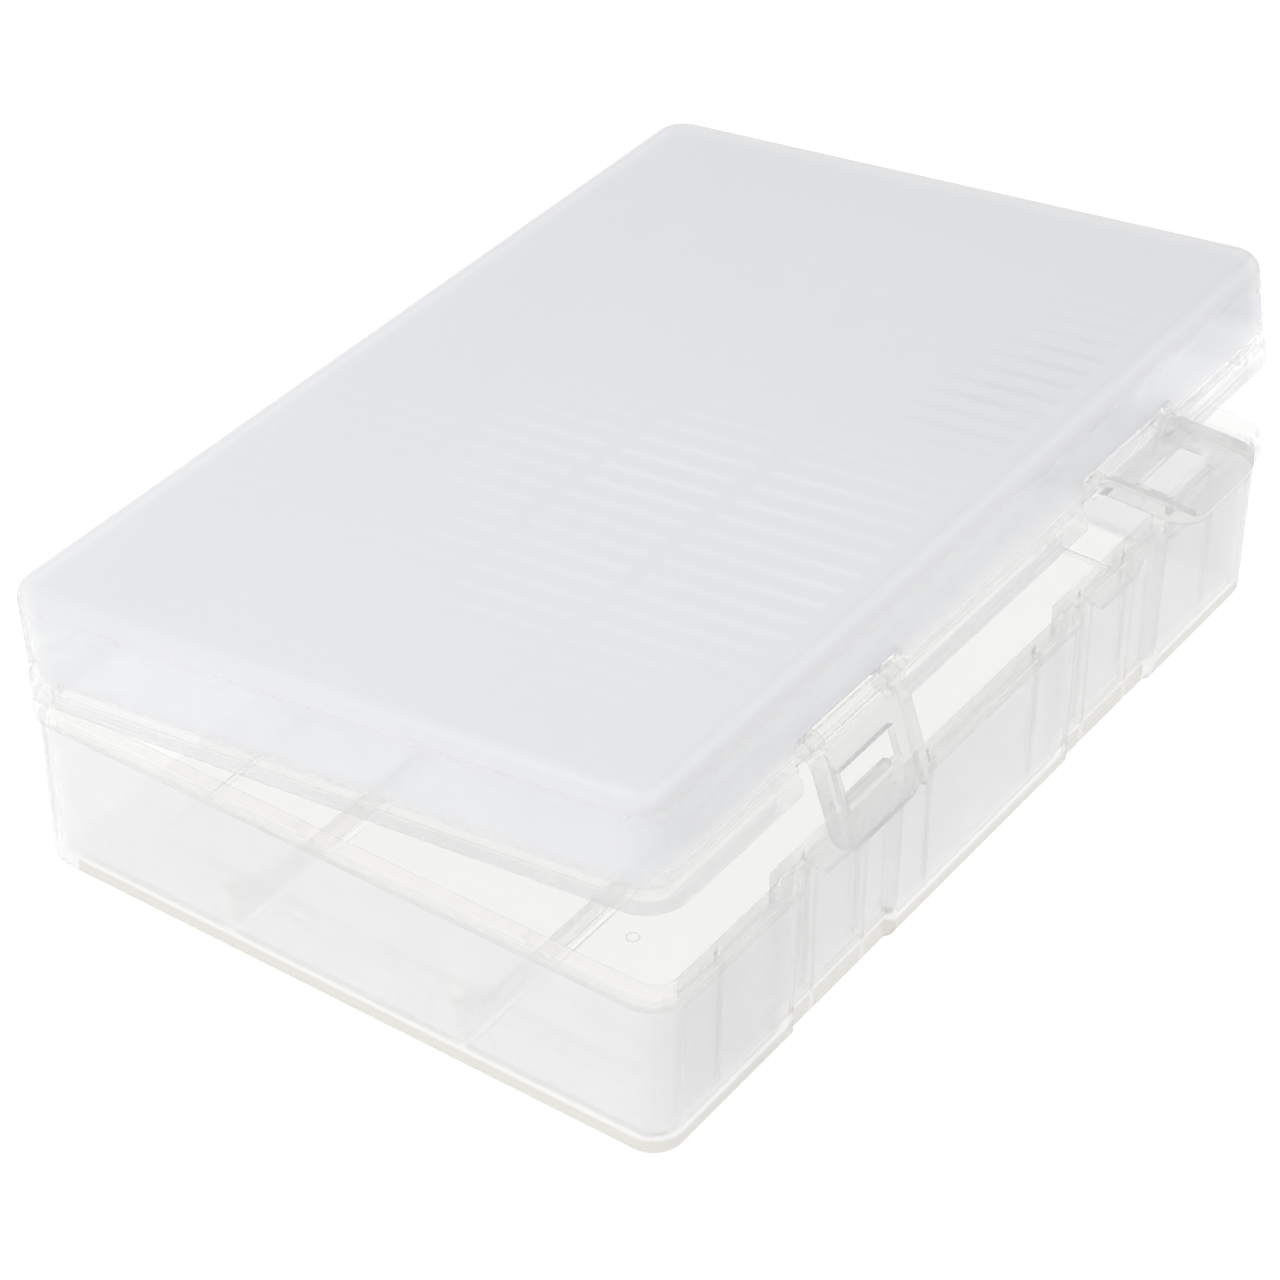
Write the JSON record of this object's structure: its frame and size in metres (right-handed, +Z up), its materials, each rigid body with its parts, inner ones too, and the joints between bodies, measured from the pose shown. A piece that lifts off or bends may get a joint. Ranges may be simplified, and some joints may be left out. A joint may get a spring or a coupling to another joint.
{
  "type": "battery storage box",
  "caption": "Frosted plastic battery storage box with a ribbed tray, a lid hinged on steel pins along the back and snap latches that hook under catches on the front wall",
  "frame": {"origin": "middle of the flat underside of the tray", "axes": "+X along the length to the right as seen from the latches, +Y from the latches to the hinge, +Z up"},
  "size_m": [0.19, 0.1517, 0.0702],
  "materials": {
    "tray_plastic": "frosted natural polypropylene, translucent",
    "lid_plastic": "frosted natural polypropylene, translucent",
    "latch_plastic": "frosted natural polypropylene, translucent",
    "pin_steel": "bright drawn wire"
  },
  "bodies": {
    "tray": {"base_tray": "tray_plastic", "hinge_pin_left": "pin_steel", "hinge_pin_right": "pin_steel"},
    "lid": {"lid": "lid_plastic"},
    "left_latch": {"latch_left": "latch_plastic"},
    "right_latch": {"latch_right": "latch_plastic"}
  },
  "joints": [
    {"name": "lid_hinge", "type": "hinge", "parent": "tray", "child": "lid", "pos_m": [0, 0.0678, 0.0341], "axis": [-1, 0, 0], "range_deg": [-6.9, 173.1]},
    {"name": "left_latch_pivot", "type": "hinge", "parent": "lid", "child": "left_latch", "pos_m": [-0.0426, -0.06164, 0.05571], "axis": [-1, 0, 0], "range_deg": [-12, 98]},
    {"name": "right_latch_pivot", "type": "hinge", "parent": "lid", "child": "right_latch", "pos_m": [0.0426, -0.06164, 0.05571], "axis": [-1, 0, 0], "range_deg": [-81, 29]}
  ]
}
